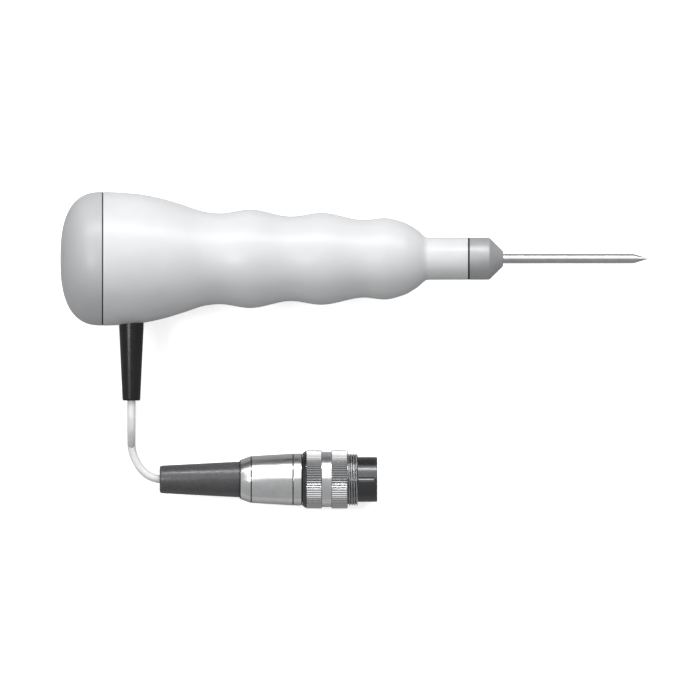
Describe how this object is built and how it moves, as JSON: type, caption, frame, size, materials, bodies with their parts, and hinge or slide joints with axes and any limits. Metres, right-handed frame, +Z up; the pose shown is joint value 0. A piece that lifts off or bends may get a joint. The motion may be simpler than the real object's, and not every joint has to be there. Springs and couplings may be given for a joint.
{
  "type": "grain moisture probe with lead and plug",
  "caption": "Hand probe with a finger-grip handle, a thin pointed steel shaft, and a side lead that ends in a threaded round multi-pin plug.",
  "frame": {"origin": "under the middle of the handle and shaft, on the surface that the probe lies on", "axes": "+X along the handle towards the shaft's point, +Z up; the lead leaves the handle towards -Y"},
  "size_m": [0.18, 0.0968, 0.0409],
  "materials": {
    "grip_plastic": "satin light grey moulded plastic",
    "cap_plastic": "satin mid grey moulded plastic",
    "black_rubber": "satin black rubber",
    "boot_rubber": "satin dark grey rubber",
    "ferrule_metal": "fine turned, satin",
    "shaft_steel": "ground and polished stainless steel",
    "satin_nickel": "satin nickel plate on brass",
    "shell_metal": "dark passivated steel",
    "pin_gold": "gold flash",
    "brass": "machined",
    "cord_pvc": "smooth light grey soft PVC jacket",
    "board_green": "solder-masked glass epoxy",
    "nylon": "natural nylon",
    "black_plastic": "moulded black plastic",
    "copper": "tinned copper wire"
  },
  "bodies": {
    "probe": {"handle_grip": "grip_plastic", "end_cap": "cap_plastic", "cap_o_ring": "black_rubber", "neck_seal": "black_rubber", "strain_relief": "black_rubber", "plug_boot": "boot_rubber", "ferrule": "ferrule_metal", "probe_shaft": "shaft_steel", "shaft_tip": "shaft_steel", "carrier_screw_1": "shaft_steel", "carrier_screw_2": "shaft_steel", "retaining_clip": "shaft_steel", "clamp_collar": "satin_nickel", "plug_backshell": "satin_nickel", "lock_ring": "satin_nickel", "plug_shell": "shell_metal", "contact_pin_1": "pin_gold", "contact_pin_2": "pin_gold", "contact_pin_3": "pin_gold", "contact_pin_4": "pin_gold", "contact_pin_5": "pin_gold", "ferrule_nut": "brass", "cable_clamp": "brass", "inner_cable": "cord_pvc", "plug_cable_tail": "cord_pvc", "cord_relief_run": "cord_pvc", "cord_plug_run": "cord_pvc", "cord_hank": "cord_pvc", "signal_board": "board_green", "shaft_bush": "nylon", "board_carrier": "nylon", "rear_terminal": "nylon", "front_terminal": "nylon", "cable_tie": "nylon", "sensor_bead": "black_plastic", "board_chip": "black_plastic", "pin_insert": "black_plastic", "hank_tie": "black_plastic", "sensor_lead_1": "copper", "sensor_lead_2": "copper", "inner_core_1": "copper", "inner_core_2": "copper", "inner_core_3": "copper", "inner_core_4": "copper", "plug_core_1": "copper", "plug_core_2": "copper", "plug_core_3": "copper", "plug_core_4": "copper", "plug_core_5": "copper"},
    "coupling_ring": {"coupling_ring": "satin_nickel"}
  },
  "joints": [
    {"name": "coupling_ring_spin", "type": "hinge", "parent": "probe", "child": "coupling_ring", "pos_m": [-0.00765, -0.0675, 0.0089], "axis": [1, 0, 0], "continuous": true}
  ]
}
